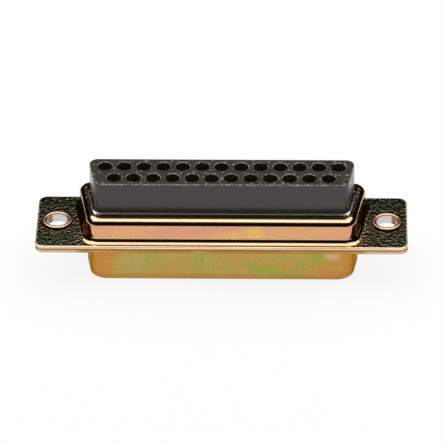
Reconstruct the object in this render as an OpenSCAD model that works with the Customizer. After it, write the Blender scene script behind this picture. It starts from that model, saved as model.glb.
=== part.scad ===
// Crimp-contact D-sub connector, socket version, 25 way, empty and unmated.
// Two drawn sheet-metal shells are held together by two eyelets and trap two
// moulded insulators between them. Each cavity has a slit metal retention clip.
//
// Millimetres. The origin is the middle of the panel face of the front flange,
// +X runs along the rows, +Y points to the wide side of the D and the longer
// row, and +Z points to the wire side.

/* [Contacts] */
// Number of contact cavities, in two rows that differ by one
cavity_count = 25; // [9, 15, 25, 37]
// Distance between neighbouring cavities of one row
cavity_pitch = 2.76; // [2.72:0.01:2.8]
// Distance between the two rows
row_gap = 2.84; // [2.8:0.01:2.9]
// Wire-side bore that a crimped contact is pushed into
cavity_d = 2.1; // [1.8:0.05:2.1]
// Bore in the front insulator that holds the tube of a socket contact
socket_d = 1.8; // [1.6:0.05:1.8]
// Hole in the mating face that a pin enters
pin_hole_d = 1.25; // [1.1:0.05:1.4]
// Height of the lead-in cone round each pin hole
lead_in = 0.25; // [0.15:0.05:0.3]

/* [Sheet metal shells] */
// Thickness of the steel sheet that both shells are drawn from
sheet_t = 0.55; // [0.45:0.05:0.6]
// Flange length beyond the longer row
flange_extra = 19.7; // [19.2:0.1:20.2]
// Flange depth across the rows
flange_d = 12.55; // [12.3:0.05:12.8]
// Corner radius of the flange
flange_corner_r = 1.2; // [0.8:0.1:2]
// Rounding that blanking leaves on the visible edges of the sheet
sheet_edge_r = 0.15; // [0.1:0.05:0.15]
// Lean of the ends of every D outline, from square to the rows
end_lean = 10; // [8:0.5:12]

/* [Front shell] */
// Length of the D collar beyond the longer row, on the wide side
collar_extra = 5.68; // [5.2:0.02:5.7]
// Depth of the D collar across the rows
collar_d = 7.9; // [7.8:0.02:8]
// How far the D collar stands out of the flange
collar_h = 6.12; // [5.8:0.02:6.3]
// Corner radius of the D collar
collar_corner_r = 2.6; // [2.4:0.1:2.8]
// Fillet between collar and flange
collar_foot_r = 0.3; // [0.2:0.05:0.35]

/* [Rear shell] */
// Length of the box beyond the longer row, on the wide side
box_extra = 7.72; // [7.7:0.02:7.8]
// Depth of the box across the rows
box_d = 10.46; // [10.3:0.02:10.7]
// Height of the box above the flange
box_h = 3.69; // [3.2:0.01:4]
// Corner radius of the box, seen from the wire side
box_corner_r = 1.75; // [1.5:0.05:2]
// Bend radius from the walls to the ledge
shoulder_r = 1; // [0.8:0.05:1.2]
// Fillet between the walls and the flange
box_foot_r = 0.75; // [0.4:0.05:0.75]
// Clear gap between the ledge and the insulator that comes through it
ledge_gap = 0.1; // [0.05:0.05:0.2]

/* [Insulators] */
// Length of the rear body beyond the longer row, on the wide side
body_extra = 4.48; // [4.3:0.02:4.5]
// Depth of the rear body across the rows
body_d = 6.45; // [6.2:0.05:6.5]
// Corner radius of the rear body
body_corner_r = 1.2; // [1:0.1:1.5]
// Rounding of the rim of the rear body
body_edge_r = 0.15; // [0.1:0.05:0.4]
// Wire-side face of the rear body, above the panel face
body_top = 9.73; // [9:0.01:11]
// Plane where the two insulators meet, above the panel face
joint_z = 2.4; // [2.2:0.1:2.6]
// Clear gap between an insulator and the shell round it
fit_gap = 0.05; // [0.03:0.01:0.08]
// How far the mating face lies behind the lip of the D collar
nose_recess = 0.25; // [0.1:0.05:0.5]
// Height of the chamfer round the mouth of each cavity
cavity_chamfer = 0.12; // [0.05:0.01:0.15]

/* [Retention clips] */
// Outer diameter of a clip
clip_d = 2.4; // [2.36:0.02:2.4]
// Thickness of its spring metal
clip_t = 0.14; // [0.1:0.01:0.14]
// Plane of its front end, above the panel face
clip_front_z = 1; // [0.8:0.1:1.2]
// Plane of its rear end, above the panel face
clip_rear_z = 4.1; // [3.9:0.1:4.3]
// Slit that lets it spring
clip_slit = 0.3; // [0.2:0.05:0.4]
// Width of a tine
tine_w = 0.7; // [0.6:0.05:0.8]
// Length of a tine
tine_l = 1.5; // [1.3:0.1:1.6]
// Inward lean of a tine, in degrees
tine_lean = 12; // [8:1:14]

/* [Mounting holes] */
// Distance between the two hole centres beyond the longer row
mount_extra = 13.92; // [13.8:0.02:14]
// Bore of the eyelets
mount_d = 3.1; // [3:0.05:3.2]
// Outer diameter of an eyelet's barrel
barrel_d = 3.6; // [3.5:0.05:3.7]
// Outer diameter of its rolled ring
ring_d = 4.28; // [4.2:0.02:4.4]
// Height of the rolled ring above the flange
ring_h = 0.4; // [0.3:0.05:0.5]
// Depth of the countersink that holds its swaged front end
sink_h = 0.35; // [0.25:0.05:0.4]

/* [Hidden] */
$fn = 48;
wide_count = (cavity_count + 1) / 2;
narrow_count = cavity_count - wide_count;
row_span = (wide_count - 1) * cavity_pitch;

// Heights above the panel face
rear_face_z = 2 * sheet_t;
box_top = rear_face_z + box_h;
ledge_under_z = box_top - sheet_t;
lip_z = -collar_h;
nose_z = lip_z + nose_recess;

// Overall sizes that follow the longer row
flange_w = row_span + flange_extra;
collar_w = row_span + collar_extra;
box_w = row_span + box_extra;
body_w = row_span + body_extra;
mount_span = row_span + mount_extra;

// Corner centres of the four outlines, anticlockwise
flange_corners = box_corners(flange_w, flange_d, flange_corner_r);
shell_box_corners = d_corners(box_w, box_d, box_corner_r, end_lean);
body_corners = d_corners(body_w, body_d, body_corner_r, end_lean);
collar_corners = d_corners(collar_w, collar_d, collar_corner_r, end_lean);

// How far a drawn section runs on into the flat sheet that carries it
lap = 0.1;

// Size at which the pieces of a swept section are joined
join_scale = 0.001;

// The space inside the shells
inner_corner_r = box_corner_r - sheet_t - fit_gap;
nose_corner_r = collar_corner_r - sheet_t - fit_gap;
opening_corner_r = body_corner_r + ledge_gap;
ledge_corner_r = box_corner_r - shoulder_r;

// Pockets that the clips sit in
pocket_r = clip_d / 2 + 0.03;
socket_floor_z = nose_z + 0.9;

cavity_places = concat(
    [for (i = [0 : wide_count - 1]) [row_span / 2 - i * cavity_pitch, row_gap / 2]],
    [for (i = [0 : narrow_count - 1]) [(row_span - cavity_pitch) / 2 - i * cavity_pitch, -row_gap / 2]]
);
clip_names = [for (i = [1 : cavity_count]) str("contact_clip_", i < 10 ? "0" : "", i)];

chromate = [0.80, 0.66, 0.36];
eyelet_gold = [0.83, 0.62, 0.45];
moulding = [0.24, 0.23, 0.21];
spring_metal = [0.72, 0.56, 0.34];

// ---- Outlines ----

// Corner centres of a rounded rectangle
function box_corners(w, d, r) = [
    [w / 2 - r, -d / 2 + r],
    [w / 2 - r, d / 2 - r],
    [-w / 2 + r, d / 2 - r],
    [-w / 2 + r, -d / 2 + r]
];

// Corner centres of a rounded D, wide on the +Y side. The narrow side is kept to
// a hundredth of a millimetre, so the lean is true to a tenth of a degree.
function d_corners(w, d, r, lean) = let (
    y = d / 2 - r,
    wide_x = w / 2 - r,
    narrow_x = round(100 * (wide_x - 2 * y * tan(lean))) / 100
) [[narrow_x, -y], [wide_x, y], [-wide_x, y], [-narrow_x, -y]];

// Direction of the outward normal of the side from one corner to the next
function normal_angle(a, b) = atan2(b[1] - a[1], b[0] - a[0]) - 90;

// A point's place after a move in the direction of an angle
function moved(point, angle, by) = point + by * [cos(angle), sin(angle)];

// The polygon of the corner centres with every side moved out
function grown(corners, by) = [
    for (i = [0 : len(corners) - 1])
        let (
            here = corners[i],
            next = corners[(i + 1) % len(corners)],
            out = normal_angle(here, next)
        )
        each [moved(here, out, by), moved(next, out, by)]
];

// Sweeps a section along the sides and round the corners. The section is drawn
// with its first axis outwards from the corner centres and its second axis up.
// The runs and turns are joined at join_scale of full size, where the rounding of
// a leaning side's coordinates is too small to leave slivers at the seams.
module swept(corners) {
    count = len(corners);
    scale(1 / join_scale)
        for (i = [0 : count - 1]) {
            here = corners[i];
            next = corners[(i + 1) % count];
            before = corners[(i + count - 1) % count];
            leaving = normal_angle(here, next);
            arriving = normal_angle(before, here);
            side = norm(next - here);
            scale(join_scale)
                translate([here[0], here[1], 0])
                    rotate([0, 0, leaving])
                        translate([0, side, 0])
                            rotate([90, 0, 0])
                                linear_extrude(side)
                                    children();
            scale(join_scale)
                translate([here[0], here[1], 0])
                    rotate([0, 0, arriving])
                        rotate_extrude(angle = (leaving - arriving + 360) % 360)
                            children();
        }
}

// A solid slab with rounded plan corners, and a rounded rim at its top
module slab(corners, corner_r, z0, z1, rim_r = 0) {
    translate([0, 0, z0])
        linear_extrude(z1 - z0)
            polygon(grown(corners, corner_r / 2));
    swept(corners)
        translate([0, z0])
            rimmed(corner_r, z1 - z0, rim_r);
}

// What rounding takes off the upper rim of an opening
module rim_cut(rim_r) {
    over = 0.1;
    difference() {
        translate([-over, -rim_r])
            square(rim_r + over);
        translate([rim_r, -rim_r])
            circle(rim_r);
    }
}

// Half of a slab's section: square at the foot, rounded at the outer top corner
module rimmed(w, h, rim_r) {
    if (rim_r > 0) {
        square([w, h - rim_r]);
        square([w - rim_r, h]);
        translate([w - rim_r, h - rim_r])
            circle(rim_r);
    } else
        square([w, h]);
}

// The quarter of a ring of sheet that lies between two compass directions
module bend(outer_r, x_side, y_side) {
    intersection() {
        difference() {
            circle(outer_r);
            circle(outer_r - sheet_t);
        }
        quadrant(outer_r, x_side, y_side);
    }
}

module quadrant(size, x_side, y_side) {
    translate([x_side < 0 ? -size : 0, y_side < 0 ? -size : 0])
        square(size);
}

module at_mounts() {
    for (side = [-1, 1])
        translate([side * mount_span / 2, 0, 0])
            children();
}

module at_cavities() {
    for (place = cavity_places)
        translate([place[0], place[1], 0])
            children();
}

// ---- Shells ----

// Front shell: a flat flange with a deep D collar drawn out of it. The collar
// leaves the flange in a fillet and ends in a lip with a blanked, soft edge.
module front_shell() color(chromate) {
    difference() {
        translate([0, 0, sheet_t])
            mirror([0, 0, 1])
                slab(flange_corners, flange_corner_r, 0, sheet_t, sheet_edge_r);
        slab(collar_corners, collar_corner_r + collar_foot_r + lap / 2, -1, 1);
        at_mounts() {
            translate([0, 0, -1])
                cylinder(d = barrel_d, h = 2);
            cylinder(d1 = ring_d, d2 = barrel_d, h = sink_h);
        }
    }
    swept(collar_corners)
        collar_section();
}

module collar_section() {
    wall_x = collar_corner_r - sheet_t;
    translate([collar_corner_r + collar_foot_r, -collar_foot_r])
        bend(collar_foot_r + sheet_t, -1, 1);
    translate([collar_corner_r + collar_foot_r, 0])
        square([lap, sheet_t]);
    translate([wall_x, lip_z + sheet_edge_r])
        square([sheet_t, collar_h - sheet_edge_r - collar_foot_r]);
    translate([wall_x, lip_z])
        square([sheet_t - sheet_edge_r, sheet_edge_r]);
    translate([collar_corner_r - sheet_edge_r, lip_z + sheet_edge_r])
        circle(sheet_edge_r);
}

// Rear shell: the same flange with a shallow D-shaped box drawn out of it. Its
// walls turn over a round shoulder to a flat ledge, round the rear insulator.
module rear_shell() color(chromate) {
    difference() {
        slab(flange_corners, flange_corner_r, sheet_t, rear_face_z, sheet_edge_r);
        slab(shell_box_corners, box_corner_r + box_foot_r + lap / 2, 0, 2);
        at_mounts()
            cylinder(d = barrel_d, h = 2);
    }
    swept(shell_box_corners)
        box_section();
    difference() {
        slab(shell_box_corners, ledge_corner_r, ledge_under_z, box_top);
        slab(body_corners, opening_corner_r, 0, body_top);
        swept(body_corners)
            translate([opening_corner_r, box_top])
                rim_cut(sheet_edge_r);
    }
}

module box_section() {
    translate([box_corner_r + box_foot_r, rear_face_z + box_foot_r])
        bend(box_foot_r + sheet_t, -1, -1);
    translate([box_corner_r + box_foot_r, sheet_t])
        square([lap, sheet_t]);
    translate([box_corner_r - sheet_t, rear_face_z + box_foot_r])
        square([sheet_t, box_h - box_foot_r - shoulder_r]);
    translate([ledge_corner_r, box_top - shoulder_r])
        bend(shoulder_r, 1, 1);
}

// ---- Insulators ----

// Front insulator: a D nose that fills the collar, on a foot that the shells
// trap. Every socket bore narrows to a coned pin hole in the mating face.
module front_insulator() color(moulding) {
    difference() {
        union() {
            translate([0, 0, sheet_t])
                mirror([0, 0, 1])
                    slab(collar_corners, nose_corner_r, 0, sheet_t - nose_z, body_edge_r);
            slab(shell_box_corners, inner_corner_r, sheet_t, joint_z);
        }
        at_cavities()
            rotate_extrude()
                socket_bore_section();
    }
}

module socket_bore_section() {
    pin_r = pin_hole_d / 2;
    polygon([
        [0, nose_z - 1],
        [pin_r + lead_in + 1, nose_z - 1],
        [pin_r, nose_z + lead_in],
        [pin_r, socket_floor_z],
        [socket_d / 2, socket_floor_z],
        [socket_d / 2, clip_front_z],
        [pocket_r, clip_front_z],
        [pocket_r, joint_z + 1],
        [0, joint_z + 1]
    ]);
}

// Rear insulator: a block of straight cavities, on a foot that fills the box
module rear_insulator() color(moulding) {
    difference() {
        union() {
            slab(shell_box_corners, inner_corner_r, joint_z, ledge_under_z, shoulder_r - sheet_t);
            slab(body_corners, body_corner_r, joint_z, body_top, body_edge_r);
        }
        at_cavities()
            rotate_extrude()
                cavity_section();
    }
}

module cavity_section() {
    bore_r = cavity_d / 2;
    polygon([
        [0, joint_z - 1],
        [pocket_r, joint_z - 1],
        [pocket_r, clip_rear_z],
        [bore_r, clip_rear_z],
        [bore_r, body_top - cavity_chamfer],
        [bore_r + cavity_chamfer + 1, body_top + 1],
        [0, body_top + 1]
    ]);
}

// ---- Contact retention ----

// A slit sleeve of spring metal. Two tines bent out of windows in its wall lean
// in and forward, and snap behind the shoulder of a contact pushed in from +Z.
module retention_clip(place) color(spring_metal) {
    clip_h = clip_rear_z - clip_front_z;
    window_z = (clip_h - tine_l) / 2;
    wall_mid_r = (clip_d - clip_t) / 2;
    translate([place[0], place[1], clip_front_z]) {
        difference() {
            cylinder(d = clip_d, h = clip_h);
            translate([0, 0, -1])
                cylinder(d = clip_d - 2 * clip_t, h = clip_h + 2);
            translate([-clip_slit / 2, 0, -1])
                cube([clip_slit, clip_d, clip_h + 2]);
            translate([-clip_d, -tine_w / 2 - 0.1, window_z])
                cube([2 * clip_d, tine_w + 0.2, tine_l]);
        }
        for (side = [0, 1])
            mirror([side, 0, 0])
                translate([wall_mid_r - clip_t / 2, -tine_w / 2, window_z + tine_l + 0.1])
                    rotate([0, tine_lean, 0])
                        translate([0, 0, -tine_l])
                            cube([clip_t / 2, tine_w, tine_l]);
    }
}

// ---- Eyelets ----

// A turned tube through both flanges. Its rear end is rolled into a raised ring
// and its front end is swaged flat into the countersink of the front shell.
module eyelet(side) color(eyelet_gold) {
    barrel_wall = (barrel_d - mount_d) / 2;
    ring_wall = (ring_d - mount_d) / 2;
    roll_r = ring_h / 2;
    translate([side * mount_span / 2, 0, 0])
        rotate_extrude() {
            translate([mount_d / 2, 0]) {
                square([barrel_wall, rear_face_z + roll_r]);
                polygon([[0, 0], [ring_wall, 0], [barrel_wall, sink_h], [0, sink_h]]);
                translate([0, rear_face_z])
                    rolled_ring(ring_wall, roll_r);
            }
        }
}

module rolled_ring(w, roll_r) {
    square([w - roll_r, roll_r]);
    translate([roll_r, 0])
        square([w - 2 * roll_r, 2 * roll_r]);
    for (x = [roll_r, w - roll_r])
        translate([x, roll_r])
            circle(roll_r);
}

front_shell();
rear_shell();
front_insulator();
rear_insulator();
eyelet(-1);  // eyelet_left
eyelet(1);  // eyelet_right
for (i = [0 : cavity_count - 1])
    retention_clip(cavity_places[i]);
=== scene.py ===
# %% [markdown]
# # A crimp D-sub connector, standing on its collar
#
# The real object is two drawn steel shells, zinc plated and yellow chromated,
# held together by two rolled eyelets. They trap two black mouldings with 25
# round cavities. When it is wired, a crimped contact is pushed into each of
# them from above. Here they are all empty.
#
# The exact solids come in first. Everything made here lies in the same frame,
# in metres, with the origin in the middle of the panel face of the flange.

import math

import bmesh
import bpy
from mathutils import Matrix, Vector


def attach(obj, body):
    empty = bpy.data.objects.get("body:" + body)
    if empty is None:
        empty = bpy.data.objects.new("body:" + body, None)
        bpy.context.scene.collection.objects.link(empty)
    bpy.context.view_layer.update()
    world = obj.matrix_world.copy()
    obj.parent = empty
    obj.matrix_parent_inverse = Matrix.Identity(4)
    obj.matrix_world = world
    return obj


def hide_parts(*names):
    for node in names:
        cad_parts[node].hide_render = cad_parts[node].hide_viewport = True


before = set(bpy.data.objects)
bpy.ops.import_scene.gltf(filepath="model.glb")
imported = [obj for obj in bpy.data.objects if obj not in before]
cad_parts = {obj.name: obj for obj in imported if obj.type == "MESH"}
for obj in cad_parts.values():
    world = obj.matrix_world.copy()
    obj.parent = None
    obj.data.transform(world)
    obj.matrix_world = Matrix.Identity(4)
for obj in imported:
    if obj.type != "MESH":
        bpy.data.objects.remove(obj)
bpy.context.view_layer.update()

# %% [markdown]
# ## Sizes
#
# The solids arrive as loose triangles, which is right for measuring but leaves
# every bend faceted. So the shells, mouldings and eyelets are drawn again here
# with smooth bends, from the sizes of the solids. The few that differ are named
# where they are used. The sizes are in millimetres, because that is how such a
# part is dimensioned. Each mesh is modelled in millimetres and scaled to metres
# when it is finished.

# %% Name the spacings
MM = 0.001
pitch = 2.76
row_gap = 2.84
wide_count = 13
row_span = (wide_count - 1) * pitch
mount_x = 47.04 / 2
end_lean = 10
print("row of", wide_count, "cavities spans", round(row_span, 2), "mm")

# %% Name the heights
sheet = 0.55
top_face = 2 * sheet
joint_z = 2.4
box_top = 4.79
ledge_under = box_top - sheet
body_top = 9.73
lip_z = -6.12
nose_z = -5.87
print("overall height:", round(body_top - lip_z, 2), "mm")

# %% [markdown]
# ## Corners and bends
#
# A corner is the radius of an outline seen from above. A bend is the radius
# that a section of the sheet turns through. The lead is the short straight
# that a section keeps past its last bend, so that the bend has room.

# %% Name the corners and bends
flange_corner = 1.2
box_corner = 1.75
body_corner = 1.2
opening_corner = 1.3
collar_corner = 2.6
sheet_edge = 0.15
seam = 0.06
moulded_edge = 0.15
moulding_gap = 0.05
lead = 0.03
print("tightest corner:", min(flange_corner, box_corner, body_corner, opening_corner, collar_corner), "mm")

# %% [markdown]
# ## Outlines
#
# Seen from above, the flange is a rounded rectangle, and the box, the black
# body and the collar are rounded Ds. Such an outline is four corner centres
# and a radius, so all the outlines are kept as corner centres, anticlockwise
# from the front right.

# %% Corner centres of the four outlines
def box_corners(width, depth, radius):
    x = width / 2 - radius
    y = depth / 2 - radius
    return [(x, -y), (x, y), (-x, y), (-x, -y)]


def d_corners(width, depth, radius):
    x = width / 2 - radius
    y = depth / 2 - radius
    narrow_x = round(x - 2 * y * math.tan(math.radians(end_lean)), 2)
    return [(narrow_x, -y), (x, y), (-x, y), (-narrow_x, -y)]


flange_corners = box_corners(52.82, 12.55, flange_corner)
shell_box_corners = d_corners(40.84, 10.46, box_corner)
body_corners = d_corners(37.6, 6.45, body_corner)
collar_corners = d_corners(38.8, 7.9, collar_corner)
print("flange corner centre:", flange_corners[1])

# %% [markdown]
# ## Sweeping a section round an outline
#
# A drawn shell has one section all the way round: flange, fillet, wall,
# shoulder, ledge. It could be bevelled out of a block, but then every bend
# would depend on the ones before it. Here the section is drawn once as a line
# of a few points, its bends are rounded with a vertex bevel, and the line is
# extruded along each side and spun round each corner. This is how the bends
# run on the real part too.

# %% Draw a section as a line with rounded bends
def side_normal(corners, i):
    here = Vector(corners[i])
    there = Vector(corners[(i + 1) % 4])
    way = there - here
    return math.atan2(way.y, way.x) - math.pi / 2


def round_bends(bm, verts, bends, steps):
    for vert, bend in zip(verts, bends):
        if bend:
            bmesh.ops.bevel(bm, geom=[vert], offset=bend, segments=steps, profile=0.5,
                            affect="VERTICES", material=-1, clamp_overlap=False)


def draw_section(bm, corners, points):
    """Points are (distance out from the corner centre, height, bend radius)."""
    turn = side_normal(corners, 0)
    across = Vector((math.cos(turn), math.sin(turn), 0))
    start = Vector((corners[0][0], corners[0][1], 0))
    known = set(bm.verts)
    verts = [bm.verts.new(start + across * out + Vector((0, 0, z))) for out, z, bend in points]
    for a, b in zip(verts, verts[1:]):
        bm.edges.new((a, b))
    round_bends(bm, verts, [bend for out, z, bend in points], steps=8)
    fresh = [v for v in bm.verts if v not in known]
    return list({edge for v in fresh for edge in v.link_edges})


# %% Carry the section along the sides and round the corners
def sweep(bm, corners, points, finish=0):
    old_faces = set(bm.faces)
    edges = draw_section(bm, corners, points)
    for i in range(4):
        here = Vector((corners[i][0], corners[i][1], 0))
        there = Vector((corners[(i + 1) % 4][0], corners[(i + 1) % 4][1], 0))
        made = bmesh.ops.extrude_edge_only(bm, edges=edges)["geom"]
        moved = [g for g in made if isinstance(g, bmesh.types.BMVert)]
        bmesh.ops.translate(bm, verts=moved, vec=there - here)
        ends = set(moved)
        edges = [g for g in made if isinstance(g, bmesh.types.BMEdge) and set(g.verts) <= ends]
        angle = (side_normal(corners, (i + 1) % 4) - side_normal(corners, i)) % (2 * math.pi)
        turned = bmesh.ops.spin(bm, geom=moved + edges, cent=there, axis=(0, 0, 1),
                                angle=angle, steps=12, use_duplicate=False)["geom_last"]
        edges = [g for g in turned if isinstance(g, bmesh.types.BMEdge)]
    for face in bm.faces:
        if face not in old_faces:
            face.material_index = finish
    bmesh.ops.remove_doubles(bm, verts=bm.verts, dist=0.002)


# %% [markdown]
# ## Round holes and flat faces
#
# Each hole is a stack of circles: its mouth, the foot of its chamfer, its
# floor. A circle is extruded, scaled and moved to the next one, which gives
# every hole its own clean rings of faces. The flat faces come last, between
# the open edges that lie at one height, so they go round every hole.

# %% Sink a stepped hole
def sink_hole(bm, x, y, steps, segments=32):
    """Steps are (radius, height), from the mouth inwards."""
    radius, z = steps[0]
    ring = bmesh.ops.create_circle(bm, cap_ends=False, segments=segments, radius=radius,
                                   matrix=Matrix.Translation((x, y, z)))["verts"]
    edges = list({edge for v in ring for edge in v.link_edges})
    for next_radius, next_z in steps[1:]:
        made = bmesh.ops.extrude_edge_only(bm, edges=edges)["geom"]
        moved = [g for g in made if isinstance(g, bmesh.types.BMVert)]
        grow = next_radius / radius
        bmesh.ops.scale(bm, verts=moved, vec=(grow, grow, 1),
                        space=Matrix.Translation((-x, -y, 0)))
        bmesh.ops.translate(bm, verts=moved, vec=(0, 0, next_z - z))
        ends = set(moved)
        edges = [g for g in made if isinstance(g, bmesh.types.BMEdge) and set(g.verts) <= ends]
        radius, z = next_radius, next_z


# %% Fill the flat faces at one height
def fill_flat(bm, z):
    loops = [e for e in bm.edges if e.is_boundary and all(abs(v.co.z - z) < 0.001 for v in e.verts)]
    filled = bmesh.ops.triangle_fill(bm, edges=loops, use_beauty=True, normal=(0, 0, 1))["geom"]
    faces = [g for g in filled if isinstance(g, bmesh.types.BMFace)]
    for face in faces:
        face.material_index = 0
    print("flat at", round(z, 2), "mm:", len(loops), "edges,", len(faces), "faces")


# %% [markdown]
# ## From a mesh to a piece
#
# A finished mesh is welded and its faces are turned outwards. Then it goes from
# millimetres to metres, and its edges sharper than 38 degrees stay crisp. The
# number of open edges is printed, because a closed skin has none.

# %% Turn a finished mesh into a piece of the connector
crisp_from = math.radians(38)


def make_piece(bm, name, materials, slot, *stands_for):
    bmesh.ops.remove_doubles(bm, verts=bm.verts, dist=0.002)
    bmesh.ops.recalc_face_normals(bm, faces=bm.faces)
    open_edges = sum(1 for e in bm.edges if not e.is_manifold)
    print(name, "volume", round(bm.calc_volume(signed=True), 1), "mm3, open edges", open_edges)
    bmesh.ops.scale(bm, verts=bm.verts, vec=(MM, MM, MM))
    mesh = bpy.data.meshes.new(name)
    bm.to_mesh(mesh)
    bm.free()
    for material in materials:
        mesh.materials.append(material)
    mesh.shade_smooth()
    mesh.set_sharp_from_angle(angle=crisp_from)
    piece = bpy.data.objects.new(name, mesh)
    bpy.context.scene.collection.objects.link(piece)
    evener = piece.modifiers.new("even the shading of flats", "WEIGHTED_NORMAL")
    evener.keep_sharp = True
    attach(piece, "root")
    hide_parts(*stands_for)


# %% [markdown]
# ## Finishes
#
# Every finish starts from what it is. One small function adds a node, sets its
# values and joins its inputs, and another turns a hex colour, as a paint card
# gives it, into the linear light that Blender works with. Patterns are placed
# in millimetres, from Object coordinates, so they stay on the part.

# %% Helpers for the finishes
def linearise(code):
    parts = [int(code[i:i + 2], 16) / 255 for i in (1, 3, 5)]
    return [p / 12.92 if p <= 0.04045 else ((p + 0.055) / 1.055) ** 2.4 for p in parts] + [1.0]


def add_node(tree, kind, settings=None, inputs=None):
    node = tree.nodes.new(kind)
    for name, value in (settings or {}).items():
        setattr(node, name, value)
    for name, value in (inputs or {}).items():
        if isinstance(value, bpy.types.NodeSocket):
            tree.links.new(value, node.inputs[name])
        else:
            node.inputs[name].default_value = value
    return node


def start_finish(name):
    material = bpy.data.materials.new(name)
    material.use_nodes = True
    tree = material.node_tree
    tree.nodes.clear()
    shader = add_node(tree, "ShaderNodeBsdfPrincipled")
    add_node(tree, "ShaderNodeOutputMaterial", {}, {"Surface": shader.outputs["BSDF"]})
    return material, tree, shader


def millimetres(tree):
    place = add_node(tree, "ShaderNodeTexCoord")
    return add_node(tree, "ShaderNodeVectorMath", {"operation": "SCALE"}, {
        0: place.outputs["Object"], "Scale": 1 / MM}).outputs["Vector"]


# %% [markdown]
# ## Yellow chromate on drawn steel
#
# The shells are zinc plated and dipped in yellow chromate. The film is a few
# tenths of a micrometre thick and its colour drifts with its thickness: salmon,
# straw, olive green, orange. A single gold would look like brass. Here one
# slow noise, drawn out along the sheet, moves between two tones, and a second
# brings in patches of a third.

# %% Three tones of one film
drift_size = (9.0, 4.5, 2.8125)
patch_size = (4.5, 3.0, 5.5)


def film_tones(tree, in_mm, tones, patch_level, seed):
    main, second, patch = [linearise(tone) for tone in tones]
    drawn_out = add_node(tree, "ShaderNodeMapping", {}, {
        "Vector": in_mm, "Location": (seed, 0, 0), "Scale": tuple(1 / size for size in drift_size)})
    drift = add_node(tree, "ShaderNodeTexNoise", {}, {
        "Vector": drawn_out.outputs["Vector"], "Scale": 1.0, "Detail": 3.0, "Distortion": 0.4})
    between = add_node(tree, "ShaderNodeMapRange", {"interpolation_type": "SMOOTHSTEP"}, {
        "Value": drift.outputs["Fac"], "From Min": 0.38, "From Max": 0.62})
    two_tones = add_node(tree, "ShaderNodeMix", {"data_type": "RGBA"}, {
        0: between.outputs["Result"], 6: main, 7: second})
    shifted = add_node(tree, "ShaderNodeMapping", {}, {
        "Vector": in_mm, "Location": (seed + 31, 4, 0), "Scale": tuple(1 / size for size in patch_size)})
    patches = add_node(tree, "ShaderNodeTexNoise", {}, {
        "Vector": shifted.outputs["Vector"], "Scale": 1.0, "Detail": 2.0, "Distortion": 0.3})
    patch_edge = add_node(tree, "ShaderNodeMapRange", {"interpolation_type": "SMOOTHSTEP"}, {
        "Value": patches.outputs["Fac"], "From Min": patch_level, "From Max": patch_level + 0.16})
    three_tones = add_node(tree, "ShaderNodeMix", {"data_type": "RGBA"}, {
        0: patch_edge.outputs["Result"], 6: two_tones.outputs[2], 7: patch})
    return three_tones.outputs[2], drift.outputs["Fac"]


# %% [markdown]
# ## The skin of the sheet
#
# Pressing leaves the sheet very slightly uneven, by a few hundredths of a
# millimetre over about a millimetre. Where it was hammered by the rolling tool
# it also has a fine relief. The grain of the film is too fine to show at its
# real size, so it is drawn at a third of a millimetre, as a small change of
# tone and of gloss.

# %% Unevenness and fine relief
pressed_size = 1.1
relief_size = 0.5
grain_size = 0.35


def sheet_normal(tree, in_mm, relief):
    pressed = add_node(tree, "ShaderNodeTexNoise", {}, {
        "Vector": in_mm, "Scale": 1 / pressed_size, "Detail": 2.0})
    bump = add_node(tree, "ShaderNodeBump", {}, {
        "Height": pressed.outputs["Fac"], "Strength": 0.12, "Distance": 0.05 * MM})
    if relief:
        fine = add_node(tree, "ShaderNodeTexNoise", {}, {
            "Vector": in_mm, "Scale": 1 / relief_size, "Detail": 5.0})
        bump = add_node(tree, "ShaderNodeBump", {}, {
            "Height": fine.outputs["Fac"], "Strength": relief, "Distance": 0.10 * MM,
            "Normal": bump.outputs["Normal"]})
    return bump.outputs["Normal"]


# %% Chromate from its tones, its grain and its dressing
def chromate(name, tones, patch_level, roughness, seed, dress=None, grazing=None):
    material, tree, shader = start_finish(name)
    in_mm = millimetres(tree)
    colour, drift = film_tones(tree, in_mm, tones, patch_level, seed)
    relief = None
    if dress:
        colour, relief = dress(tree, in_mm, drift, colour)
    grain = add_node(tree, "ShaderNodeTexNoise", {}, {
        "Vector": in_mm, "Scale": 1 / grain_size, "Detail": 2.0})
    tint = add_node(tree, "ShaderNodeMapRange", {}, {
        "Value": grain.outputs["Fac"], "From Min": 0.3, "From Max": 0.7, "To Min": 0.9, "To Max": 1.08})
    toned = add_node(tree, "ShaderNodeVectorMath", {"operation": "SCALE"}, {
        0: colour, "Scale": tint.outputs["Result"]})
    satin = add_node(tree, "ShaderNodeMapRange", {}, {
        "Value": grain.outputs["Fac"], "From Min": 0.3, "From Max": 0.7,
        "To Min": roughness * 0.8, "To Max": roughness * 1.25})
    tree.links.new(toned.outputs["Vector"], shader.inputs["Base Color"])
    tree.links.new(satin.outputs["Result"], shader.inputs["Roughness"])
    tree.links.new(sheet_normal(tree, in_mm, relief), shader.inputs["Normal"])
    shader.inputs["Metallic"].default_value = 1.0
    shader.inputs["Specular Tint"].default_value = linearise(grazing or tones[0])
    return material
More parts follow.
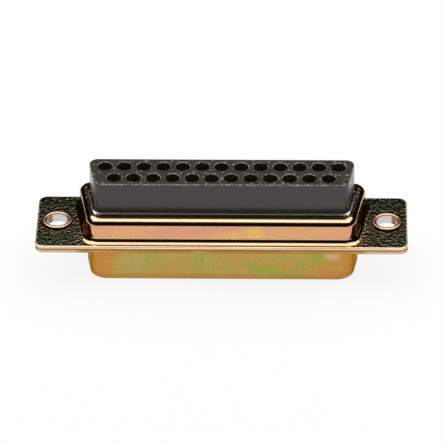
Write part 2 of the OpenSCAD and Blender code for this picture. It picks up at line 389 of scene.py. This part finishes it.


# %% [markdown]
# ## Where the film changes
#
# The film isn't the same everywhere. The bends of the box are painted pale
# cream, a painted highlight so that the soft box they mirror shows cream. The
# ears are painted dark green and brown, a painted reflection of the dark that
# their flat tops mirror, and they are rough, where the eyelets were rolled in
# the press. On the collar it is orange at both ends and along the lip, where
# the bath drained last. A mask rises and falls along one axis of the part, and
# a little of the slow noise is added first, so that no border is a ruled line.
# Each dresser below is given the film's noise and colour. It gives back the new
# colour and, where the sheet is rough, the strength of its relief.

# %% Masks along one axis
def band(tree, value, rise=None, fall=None):
    """1 between the rise and the fall, 0 beyond them; a side that is left out stays open."""
    mask = 1.0
    for limits, before, after in ((rise, 0.0, 1.0), (fall, 1.0, 0.0)):
        if limits:
            step = add_node(tree, "ShaderNodeMapRange", {"interpolation_type": "SMOOTHSTEP"}, {
                "Value": value, "From Min": limits[0], "From Max": limits[1],
                "To Min": before, "To Max": after})
            mask = add_node(tree, "ShaderNodeMath", {"operation": "MULTIPLY"}, {
                0: mask, 1: step.outputs["Result"]}).outputs[0]
    return mask


def unsettle(tree, value, noise, reach):
    moved = add_node(tree, "ShaderNodeMath", {"operation": "MULTIPLY_ADD"}, {0: noise, 1: reach, 2: value})
    return add_node(tree, "ShaderNodeMath", {"operation": "SUBTRACT"}, {
        0: moved.outputs[0], 1: reach / 2}).outputs[0]


def along(tree, in_mm):
    """How far out from the middle, towards either ear, and how high."""
    axes = add_node(tree, "ShaderNodeSeparateXYZ", {}, {"Vector": in_mm})
    out = add_node(tree, "ShaderNodeMath", {"operation": "ABSOLUTE"}, {0: axes.outputs["X"]})
    return out.outputs[0], axes.outputs["Z"]


# %% Laying one tone over another
def lay_over(tree, colour, mask, share, code):
    amount = add_node(tree, "ShaderNodeMath", {"operation": "MULTIPLY"}, {0: mask, 1: share})
    return add_node(tree, "ShaderNodeMix", {"data_type": "RGBA"}, {
        0: amount.outputs[0], 6: colour, 7: linearise(code)}).outputs[2]


def spot(tree, in_mm, noise, place, size):
    gap = add_node(tree, "ShaderNodeVectorMath", {"operation": "DISTANCE"}, {0: in_mm, 1: place})
    ragged = unsettle(tree, gap.outputs["Value"], noise, size)
    return band(tree, ragged, fall=(0.1 * size, size))


# %% The rear shell's painted highlight on the bends and painted dark reflection on the ears
def dress_rear(tree, in_mm, noise, colour):
    out, height = along(tree, in_mm)
    # The shoulder and foot bends are painted pale cream: a painted highlight, so that the soft box
    # mirrored in them shows cream instead of salmon.
    shoulder = band(tree, height, rise=(3.85, 4.15))
    foot = band(tree, height, rise=(0.6, 0.9), fall=(1.45, 1.75))
    for bend in (shoulder, foot):
        colour = lay_over(tree, colour, bend, 0.85, "#CDB592")
    # The ears are painted dark green with brown mottling: a painted reflection of the dark that their flat
    # tops mirror. The relief added below them is real roughness.
    ears = band(tree, unsettle(tree, out, noise, 1.6), rise=(20.2, 21.4))
    colour = lay_over(tree, colour, ears, 1.0, "#7F866B")
    blotch = add_node(tree, "ShaderNodeTexNoise", {}, {"Vector": in_mm, "Scale": 1 / 0.9, "Detail": 3.0})
    brown = add_node(tree, "ShaderNodeMath", {"operation": "MULTIPLY"}, {
        0: ears, 1: band(tree, blotch.outputs["Fac"], rise=(0.42, 0.68))})
    colour = lay_over(tree, colour, brown.outputs[0], 0.8, "#94805C")
    hammered = add_node(tree, "ShaderNodeMath", {"operation": "MULTIPLY_ADD"}, {
        0: ears, 1: 0.28, 2: band(tree, out, rise=(18.4, 19.6))})
    relief = add_node(tree, "ShaderNodeMath", {"operation": "MULTIPLY"}, {0: hammered.outputs[0], 1: 0.5})
    return colour, relief.outputs[0]


# %% The collar's orange ends and lip
def dress_collar(tree, in_mm, noise, colour):
    out, height = along(tree, in_mm)
    wavy_height = unsettle(tree, height, noise, 1.6)
    ends = band(tree, unsettle(tree, out, noise, 8.0), rise=(14.5, 16.5))
    colour = lay_over(tree, colour, ends, 0.75, "#C8843E")
    foot = band(tree, wavy_height, fall=(-5.5, -4.9))
    colour = lay_over(tree, colour, foot, 0.6, "#B87A3C")
    head = band(tree, wavy_height, rise=(-0.9, -0.4))
    colour = lay_over(tree, colour, head, 0.6, "#C08A40")
    grain = add_node(tree, "ShaderNodeTexNoise", {}, {"Vector": in_mm, "Scale": 1 / 0.6, "Detail": 3.0})
    stain = spot(tree, in_mm, grain.outputs["Fac"], (15.8, -3.95, -2.0), 1.6)
    colour = lay_over(tree, colour, stain, 0.5, "#DDB79A")
    bright_speck = spot(tree, in_mm, noise, (7.7, -3.95, -0.4), 0.35)
    return lay_over(tree, colour, bright_speck, 0.9, "#FFF6DC"), None


# %% Sheared edges: the rear one darker low down by the seam, the front one painted pale at the ears as a painted reflection
def dress_pale_edge(tree, in_mm, noise, colour):
    height = along(tree, in_mm)[1]
    # The lower part of the rear edge, next to the seam of the two flanges, is a darker orange-brown.
    low_edge_band = band(tree, height, rise=(0.3, 0.4), fall=(0.74, 0.82))
    return lay_over(tree, colour, low_edge_band, 0.9, "#A8743C"), None


def dress_orange_edge(tree, in_mm, noise, colour):
    out = along(tree, in_mm)[0]
    # The front edge is painted pale cream at the ears: a painted reflection of the lit white table that
    # the edge mirrors there.
    ears = band(tree, out, rise=(19.6, 21.0))
    return lay_over(tree, colour, ears, 0.8, "#D9C3A2"), None


# %% [markdown]
# ## The eyelets' finish
#
# The eyelets are chromated too, but they were rolled after it. The tool polished
# the bore, and a dark brown line runs where the raised ring meets the flange.
# Both lie at a distance from the eyelet's own axis, so the mask is a radius.

# %% The eyelet's bright bore and dark foot
def dress_eyelet(tree, in_mm, noise, colour):
    out, height = along(tree, in_mm)
    axes = add_node(tree, "ShaderNodeSeparateXYZ", {}, {"Vector": in_mm})
    off_centre = add_node(tree, "ShaderNodeMath", {"operation": "SUBTRACT"}, {0: out, 1: mount_x})
    flat = add_node(tree, "ShaderNodeCombineXYZ", {}, {"X": off_centre.outputs[0], "Y": axes.outputs["Y"]})
    radius = add_node(tree, "ShaderNodeVectorMath", {"operation": "LENGTH"}, {
        0: flat.outputs["Vector"]}).outputs["Value"]
    below_ring = band(tree, unsettle(tree, height, noise, 1.2), fall=(1.0, 1.25))
    bore = add_node(tree, "ShaderNodeMath", {"operation": "MULTIPLY"}, {
        0: band(tree, radius, fall=(1.58, 1.66)), 1: below_ring})
    colour = lay_over(tree, colour, bore.outputs[0], 0.9, "#CFD0DC")
    foot = add_node(tree, "ShaderNodeMath", {"operation": "MULTIPLY"}, {
        0: band(tree, radius, rise=(2.02, 2.1)), 1: band(tree, height, fall=(1.34, 1.46))})
    return lay_over(tree, colour, foot.outputs[0], 0.85, "#5A3A22"), None


# %% [markdown]
# ## Mixing the finishes
#
# Each finish is a film in three tones: the level says how much of the third one
# shows, and the seed moves the pattern. The rear shell has the smoothest draw
# and so the sharpest shine. A mirror pales where it is seen at a grazing angle,
# so that shell also has a grazing tone. The clips are bare copper alloy strip,
# and three tones of one metal give it its slight tarnish.

# %% Mix the sheets' finishes
rear_chromate = chromate("salmon_chromate_on_zinc", ("#DC9C7E", "#DEA876", "#E0B868"), patch_level=0.59,
                         roughness=0.12, seed=3.0, dress=dress_rear, grazing="#F8E6D6")
front_chromate = chromate("olive_chromate_on_zinc", ("#B5A35A", "#BC984E", "#A2A24A"), patch_level=0.50,
                          roughness=0.24, seed=12.0, dress=dress_collar)
pale_edge = chromate("pale_sheared_zinc_edge", ("#FFEBCF", "#FBE0BC", "#FFF0D8"), patch_level=0.55,
                     roughness=0.30, seed=7.0, dress=dress_pale_edge)
orange_edge = chromate("orange_sheared_zinc_edge", ("#C0904E", "#B4803C", "#CC9A58"), patch_level=0.55,
                       roughness=0.30, seed=5.0, dress=dress_orange_edge)
# The rim of the ledge's opening is painted pale grey: a painted highlight for the line of light that its
# raised lip catches.
grey_edge = chromate("opening_rim_painted_highlight", ("#E6D8E0", "#DCD0D0", "#EEE0EA"), patch_level=0.55,
                     roughness=0.22, seed=9.0)
print("sheet finishes:", rear_chromate.name, front_chromate.name)

# %% Mix the small parts' finishes
eyelet_chromate = chromate("pink_gold_chromate_on_brass", ("#E6BC9E", "#E4BE98", "#EACAA6"),
                           patch_level=0.55, roughness=0.22, seed=2.0, dress=dress_eyelet)
clip_metal = chromate("rolled_copper_alloy_strip", ("#C79A62", "#BE8E58", "#D0A66E"), patch_level=0.55,
                      roughness=0.3, seed=1.0)
print("small parts:", eyelet_chromate.name, clip_metal.name)

# %% [markdown]
# ## Glass-filled black moulding
#
# The insulators are moulded from polyester with short glass fibres. The skin
# is a charcoal satin with a fine grain. A gloss-free black would look like a
# hole, so the shine stays and only the grain breaks it up. On the top face
# glass fibre ends and dust make pale specks, and the thin rims of the cavities
# are painted pale in patches, a painted highlight for the light their chamfers
# catch. Both are finer than a tenth of a millimetre, and are drawn as coarse
# as they need to be to show.

# %% Dust specks and painted rim highlights on the top face
speck_spacing = 0.75
rim_highlight_size = 0.28


def specks_and_rim_highlights(tree, in_mm, colour):
    height = along(tree, in_mm)[1]
    cells = add_node(tree, "ShaderNodeTexVoronoi", {"feature": "F1"}, {
        "Vector": in_mm, "Scale": 1 / speck_spacing})
    specks = add_node(tree, "ShaderNodeMath", {"operation": "MULTIPLY"}, {
        0: band(tree, cells.outputs["Distance"], fall=(0.12, 0.26)),
        1: band(tree, height, rise=(body_top - 0.25, body_top - 0.1))})
    colour = lay_over(tree, colour, specks.outputs[0], 0.55, "#B4B2AC")
    # The cavity rims are painted pale in patches: a painted highlight for the light their chamfers catch.
    rim_highlight_noise = add_node(tree, "ShaderNodeTexNoise", {}, {
        "Vector": in_mm, "Scale": 1 / rim_highlight_size, "Detail": 2.0})
    rim_highlights = add_node(tree, "ShaderNodeMath", {"operation": "MULTIPLY"}, {
        0: band(tree, height, rise=(body_top - 0.16, body_top - 0.12), fall=(body_top - 0.03, body_top)),
        1: band(tree, rim_highlight_noise.outputs["Fac"], rise=(0.42, 0.56))})
    return lay_over(tree, colour, rim_highlights.outputs[0], 0.75, "#A6A89C")


# %% Black moulding
def black_moulding():
    material, tree, shader = start_finish("glass_filled_black_polyester")
    in_mm = millimetres(tree)
    skin = add_node(tree, "ShaderNodeTexNoise", {}, {"Vector": in_mm, "Scale": 1 / 0.5, "Detail": 3.0})
    shade = add_node(tree, "ShaderNodeMix", {"data_type": "RGBA"}, {
        0: skin.outputs["Fac"], 6: linearise("#2E2C26"), 7: linearise("#38352E")})
    satin = add_node(tree, "ShaderNodeMapRange", {}, {
        "Value": skin.outputs["Fac"], "From Min": 0.3, "From Max": 0.7, "To Min": 0.20, "To Max": 0.30})
    grain = add_node(tree, "ShaderNodeTexNoise", {}, {"Vector": in_mm, "Scale": 1 / 0.14, "Detail": 2.0})
    bump = add_node(tree, "ShaderNodeBump", {}, {
        "Height": grain.outputs["Fac"], "Strength": 0.25, "Distance": 0.03 * MM})
    tree.links.new(specks_and_rim_highlights(tree, in_mm, shade.outputs[2]), shader.inputs["Base Color"])
    tree.links.new(satin.outputs["Result"], shader.inputs["Roughness"])
    tree.links.new(bump.outputs["Normal"], shader.inputs["Normal"])
    shader.inputs["IOR"].default_value = 1.55
    return material


moulding = black_moulding()
print("moulding:", moulding.name)

# %% [markdown]
# ## The rear shell
#
# The upper shell is a flange with a shallow box drawn out of it. Its wall
# leaves the flange in a fillet, turns over a round shoulder and ends in a
# narrow ledge round the moulding. The punch that opened the ledge left a low
# raised lip. The blanked edges of the sheet are paler, because the shear leaves
# them smooth and bright, and a fine chamfer marks the seam of the two flanges.
# The lip and the seam are a few hundredths of a millimetre, so the solids leave
# them out. The foot's fillet is 0.07 mm wider here than in the solids, so that
# its light runs out close to the edge of the flange.

# %% Name the sizes of the rear shell
box_foot = 0.82
box_shoulder = 1.0
box_inside = box_corner - sheet
ledge_start = box_corner - box_shoulder
flat_start = box_corner + box_foot + lead
lip_width = 0.19
lip_crest = 0.06
lip_rise = 0.05
lip_round = 0.02
flange_hole = 1.8
round_hole_segments = 48
print("shoulder", box_shoulder, "mm, foot", box_foot, "mm")

# %% Sweep the rear shell
bm = bmesh.new()
sweep(bm, flange_corners, [
    (flange_corner - sheet_edge - lead, top_face, 0), (flange_corner, top_face, sheet_edge),
    (flange_corner, sheet + seam, 0), (flange_corner - seam, sheet, 0)], finish=1)
sweep(bm, shell_box_corners, [
    (flat_start, top_face, 0), (box_corner, top_face, box_foot),
    (box_corner, box_top, box_shoulder), (ledge_start - lead, box_top, 0)])
sweep(bm, body_corners, [
    (opening_corner + lip_width, box_top, 0), (opening_corner + lip_crest, box_top + lip_rise, 0),
    (opening_corner, box_top + lip_round, 0), (opening_corner, ledge_under, 0)], finish=2)
sweep(bm, shell_box_corners, [
    (ledge_start - lead, ledge_under, 0), (box_inside, ledge_under, box_shoulder - sheet),
    (box_inside, sheet, box_foot + sheet), (flat_start, sheet, 0)])
for side in (-1, 1):
    sink_hole(bm, side * mount_x, 0, [(flange_hole, top_face), (flange_hole, sheet)], round_hole_segments)
for height in (sheet, top_face, ledge_under, box_top):
    fill_flat(bm, height)
make_piece(bm, "rear_shell_drawn", [rear_chromate, pale_edge, grey_edge], "chromate_sheet", "rear_shell")

# %% [markdown]
# ## The front shell
#
# The lower shell carries the D collar that the mating plug slides over. It is
# the deeper draw of the two. Its ends lean ten degrees, which is what stops a
# plug from going in the wrong way round. The eyelet is swaged into a countersink
# in its face.

# %% Name the sizes of the front shell
collar_root = 0.3
collar_inside = collar_corner - sheet
root_start = collar_corner + collar_root + lead
swage_depth = 0.35
swage_radius = 2.14
print("collar stands", -lip_z, "mm from the flange")

# %% Sweep the front shell
bm = bmesh.new()
sweep(bm, flange_corners, [
    (flange_corner - seam, sheet, 0), (flange_corner, sheet - seam, 0), (flange_corner, 0, sheet_edge),
    (flange_corner - sheet_edge - lead, 0, 0)], finish=1)
sweep(bm, collar_corners, [
    (root_start, sheet, 0), (collar_inside, sheet, collar_root + sheet), (collar_inside, lip_z, 0),
    (collar_corner, lip_z, sheet_edge), (collar_corner, 0, collar_root), (root_start, 0, 0)])
for side in (-1, 1):
    sink_hole(bm, side * mount_x, 0, [
        (flange_hole, sheet), (flange_hole, swage_depth), (swage_radius, 0)], round_hole_segments)
for height in (sheet, 0):
    fill_flat(bm, height)
make_piece(bm, "front_shell_drawn", [front_chromate, orange_edge], "chromate_sheet", "front_shell")

# %% [markdown]
# ## The two mouldings
#
# The rear moulding is a block of straight cavities with a foot that the box
# holds down. The front one fills the collar and ends in the mating face, where
# every bore narrows to a coned hole for a pin. Where the two meet, each cavity
# widens into a pocket for its retention clip.

# %% Places of the cavities
wide_row = [(row_span / 2 - i * pitch, row_gap / 2) for i in range(wide_count)]
narrow_row = [((row_span - pitch) / 2 - i * pitch, -row_gap / 2) for i in range(wide_count - 1)]
cavities = wide_row + narrow_row
print("cavities:", len(cavities))

# %% Name the sizes of a cavity
cavity = 1.05
mouth_chamfer = 0.12
clip_pocket = 1.23
pocket_top = 4.1
pocket_floor = 1.0
socket_bore = 0.9
pin_hole = 0.625
pin_cone = 0.25
face_wall = 0.9
print("clip pocket", round(pocket_top - pocket_floor, 2), "mm deep")

# %% Rear moulding
foot_corner = box_inside - moulding_gap
foot_bend = box_shoulder - sheet
bm = bmesh.new()
sweep(bm, shell_box_corners, [
    (foot_corner, joint_z, 0), (foot_corner, ledge_under, foot_bend),
    (foot_corner - foot_bend - lead, ledge_under, 0)])
sweep(bm, body_corners, [
    (body_corner, ledge_under, 0), (body_corner, body_top, moulded_edge),
    (body_corner - moulded_edge - lead, body_top, 0)])
for x, y in cavities:
    sink_hole(bm, x, y, [
        (cavity + mouth_chamfer, body_top), (cavity, body_top - mouth_chamfer), (cavity, pocket_top),
        (clip_pocket, pocket_top), (clip_pocket, joint_z)])
for height in (joint_z, ledge_under, body_top):
    fill_flat(bm, height)
make_piece(bm, "rear_moulding", [moulding], "black_moulding", "rear_insulator")

# %% Front moulding
nose_corner = collar_inside - moulding_gap
bm = bmesh.new()
sweep(bm, shell_box_corners, [(foot_corner, sheet, 0), (foot_corner, joint_z, 0)])
sweep(bm, collar_corners, [
    (nose_corner, sheet, 0), (nose_corner, nose_z, moulded_edge),
    (nose_corner - moulded_edge - lead, nose_z, 0)])
for x, y in cavities:
    sink_hole(bm, x, y, [
        (clip_pocket, joint_z), (clip_pocket, pocket_floor), (socket_bore, pocket_floor),
        (socket_bore, nose_z + face_wall), (pin_hole, nose_z + face_wall), (pin_hole, nose_z + pin_cone),
        (pin_hole + pin_cone, nose_z)])
for height in (joint_z, sheet, nose_z):
    fill_flat(bm, height)
make_piece(bm, "front_moulding", [moulding], "black_moulding", "front_insulator")

# %% [markdown]
# ## The eyelets
#
# Each eyelet is a turned tube. One end is rolled over into a raised ring, the
# other swaged into a countersink. It is a body of revolution, so a section is
# spun once round its axis.

# %% Spin the eyelets
eyelet_bore = 1.55
ring_radius = 2.14
ring_top = top_face + 0.4
ring_round = 0.199


def turn_eyelet(name, side, stands_for):
    outline = [(eyelet_bore, 0, 0), (swage_radius, 0, 0), (flange_hole, swage_depth, 0),
               (flange_hole, top_face, 0), (ring_radius, top_face, ring_round),
               (ring_radius, ring_top, ring_round), (eyelet_bore, ring_top, ring_round)]
    eyelet = bmesh.new()
    verts = [eyelet.verts.new((side * mount_x + r, 0, z)) for r, z, bend in outline]
    for a, b in zip(verts, verts[1:] + verts[:1]):
        eyelet.edges.new((a, b))
    round_bends(eyelet, verts, [bend for r, z, bend in outline], steps=6)
    bmesh.ops.spin(eyelet, geom=list(eyelet.verts) + list(eyelet.edges), cent=(side * mount_x, 0, 0),
                   axis=(0, 0, 1), angle=2 * math.pi, steps=64, use_merge=True, use_duplicate=False)
    make_piece(eyelet, name, [eyelet_chromate], "chromate_eyelet", stands_for)


turn_eyelet("eyelet_left_rolled", -1, "eyelet_left")
turn_eyelet("eyelet_right_rolled", 1, "eyelet_right")

# %% [markdown]
# ## The retention clips
#
# The 25 slit clips sit deep in the mouldings. Their solids are exact and have
# no bends to smooth, so they stay and only take their finish.

# %% Finish the clips
clips = [node for name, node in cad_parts.items() if name.startswith("contact_clip_")]
for clip in clips:
    for slot in clip.material_slots:
        slot.material = clip_metal
print("clips finished:", len(clips))

# %% [markdown]
# ## The table
#
# The connector stands on a plain white table. Polished metal shows whatever
# lies round it, so the table matters as much as the lamp: the front walls
# mirror it. It is laminate to the lamp, so it keeps a soft shadow, and nearly
# white to the camera and to mirror images.

# %% Lay the table
white_share = 0.88


def table_laminate():
    material, tree, shader = start_finish("white_table_laminate")
    shader.inputs["Base Color"].default_value = linearise("#F2F2F0")
    shader.inputs["Roughness"].default_value = 0.9
    ray = add_node(tree, "ShaderNodeLightPath")
    seen = ray.outputs["Is Camera Ray"]
    for other in ("Is Glossy Ray", "Is Transmission Ray"):
        seen = add_node(tree, "ShaderNodeMath", {"operation": "MAXIMUM"}, {
            0: seen, 1: ray.outputs[other]}).outputs[0]
    share = add_node(tree, "ShaderNodeMath", {"operation": "MULTIPLY"}, {0: seen, 1: white_share})
    white = add_node(tree, "ShaderNodeEmission", {}, {"Color": (1, 1, 1, 1), "Strength": 1.0})
    mixed = add_node(tree, "ShaderNodeMixShader", {}, {
        0: share.outputs[0], 1: shader.outputs["BSDF"], 2: white.outputs["Emission"]})
    output = next(n for n in tree.nodes if n.bl_idname == "ShaderNodeOutputMaterial")
    tree.links.new(mixed.outputs["Shader"], output.inputs["Surface"])
    return material


def furnish(bm, name, material):
    mesh = bpy.data.meshes.new(name)
    bm.to_mesh(mesh)
    bm.free()
    mesh.materials.append(material)
    surface = bpy.data.objects.new(name, mesh)
    bpy.context.scene.collection.objects.link(surface)
    return surface


bm = bmesh.new()
bmesh.ops.create_grid(bm, x_segments=2, y_segments=2, size=2.0,
                      matrix=Matrix.Translation((0, 0, lip_z * MM)))
table = furnish(bm, "table", table_laminate())
print("table at", lip_z, "mm")

# %% [markdown]
# ## The studio
#
# One wide soft box hangs over the table, a little to the back. Rounded edges
# that tip towards it light up, and flat tops, which mirror the dark part of
# the room behind, stay dark. That contrast is what makes the sheet look like
# metal.

# %% Hang the soft box
def hang_soft_box(height, back, front, half_width, power):
    lamp = bpy.data.lights.new("soft_box", "AREA")
    lamp.shape = "RECTANGLE"
    lamp.size = 2 * half_width
    lamp.size_y = back + front
    lamp.energy = power
    box = bpy.data.objects.new("soft_box", lamp)
    box.location = (0, (back - front) / 2, height)
    bpy.context.scene.collection.objects.link(box)
    print("soft box", round(lamp.size, 2), "by", round(lamp.size_y, 2), "m at", height, "m")


hang_soft_box(height=0.70, back=0.74, front=0.42, half_width=0.65, power=9.5)

# %% [markdown]
# ## The dark screen
#
# Bright metal looks flat without something dark to mirror, so a ring of black
# card stands round it. Only mirror images see the ring: it draws the dark lines
# along every bend and keeps the flat tops dark. It hides nothing from the
# camera and throws no shadow.

# %% Put up the screen
def velvet_card():
    card, _, shader = start_finish("black_velvet_card")
    shader.inputs["Base Color"].default_value = linearise("#050505")
    shader.inputs["Roughness"].default_value = 1.0
    shader.inputs["Specular IOR Level"].default_value = 0.0
    return card


def put_up_screen(half_length, half_depth, height, above_table):
    ring = bmesh.new()
    start = Matrix.Translation((0, 0, lip_z * MM + above_table))
    foot = bmesh.ops.create_circle(ring, cap_ends=False, segments=96, radius=half_length,
                                   matrix=start)["verts"]
    bmesh.ops.scale(ring, verts=foot, vec=(1, half_depth / half_length, 1))
    edges = list({edge for v in foot for edge in v.link_edges})
    made = bmesh.ops.extrude_edge_only(ring, edges=edges)["geom"]
    raised = [g for g in made if isinstance(g, bmesh.types.BMVert)]
    bmesh.ops.translate(ring, verts=raised, vec=(0, 0, height))
    screen = furnish(ring, "dark_screen", velvet_card())
    screen.visible_camera = False
    screen.visible_diffuse = False
    screen.visible_shadow = False
    screen.visible_transmission = False
    print("screen", height, "m high")


put_up_screen(half_length=0.075, half_depth=0.050, height=0.047, above_table=0.0001)

# %% [markdown]
# ## The room behind
#
# To the camera the room is plain white. To everything else it is pale near the
# horizon and dark overhead, so that only the soft box shines from above.

# %% Paint the room
def set_stops(ramp, stops):
    elements = ramp.color_ramp.elements
    while len(elements) < len(stops):
        elements.new(0.5)
    for element, (place, grey) in zip(elements, stops):
        element.position = place
        element.color = (grey, grey, grey, 1)


world = bpy.data.worlds.new("studio_room")
bpy.context.scene.world = world
world.use_nodes = True
room = world.node_tree
room.nodes.clear()
way = add_node(room, "ShaderNodeTexCoord")
axes = add_node(room, "ShaderNodeSeparateXYZ", {}, {"Vector": way.outputs["Generated"]})
wall = add_node(room, "ShaderNodeValToRGB", {}, {"Fac": axes.outputs["Z"]})
set_stops(wall, [(0.0, 0.9), (0.2, 0.8), (0.42, 0.05), (1.0, 0.05)])
mirrored = add_node(room, "ShaderNodeBackground", {}, {"Color": wall.outputs["Color"], "Strength": 1.0})
plain = add_node(room, "ShaderNodeBackground", {}, {"Color": (1, 1, 1, 1), "Strength": 1.0})
ray = add_node(room, "ShaderNodeLightPath")
chosen = add_node(room, "ShaderNodeMixShader", {}, {
    0: ray.outputs["Is Camera Ray"], 1: mirrored.outputs["Background"], 2: plain.outputs["Background"]})
add_node(room, "ShaderNodeOutputWorld", {}, {"Surface": chosen.outputs["Shader"]})
bpy.context.scene.view_settings.view_transform = "Standard"
print("room painted:", world.name)

# %% [markdown]
# ## The camera
#
# The camera looks down on the wire side at 35 degrees, from far away through a
# long lens, as small parts are usually shown in a catalogue. Parallel edges
# stay almost parallel, so sizes can be compared.

# %% Set up the camera
def place_camera(azimuth, elevation, distance, lens, roll, aim):
    a = math.radians(azimuth)
    e = math.radians(elevation)
    back = Vector((math.sin(a) * math.cos(e), -math.cos(a) * math.cos(e), math.sin(e)))
    lens_data = bpy.data.cameras.new("catalogue_camera")
    lens_data.lens = lens
    lens_data.sensor_width = 36
    lens_data.clip_start = 0.01
    lens_data.clip_end = 20
    camera = bpy.data.objects.new("catalogue_camera", lens_data)
    turn = back.to_track_quat("Z", "Y").to_matrix() @ Matrix.Rotation(math.radians(roll), 3, "Z")
    camera.matrix_world = Matrix.Translation(aim + back * distance) @ turn.to_4x4()
    bpy.context.scene.collection.objects.link(camera)
    bpy.context.scene.camera = camera
    print("camera at", [round(v, 3) for v in camera.matrix_world.translation])


place_camera(azimuth=1.5, elevation=35.0, distance=0.6, lens=341.0, roll=-0.55,
             aim=Vector((0, 0, top_face * MM)))
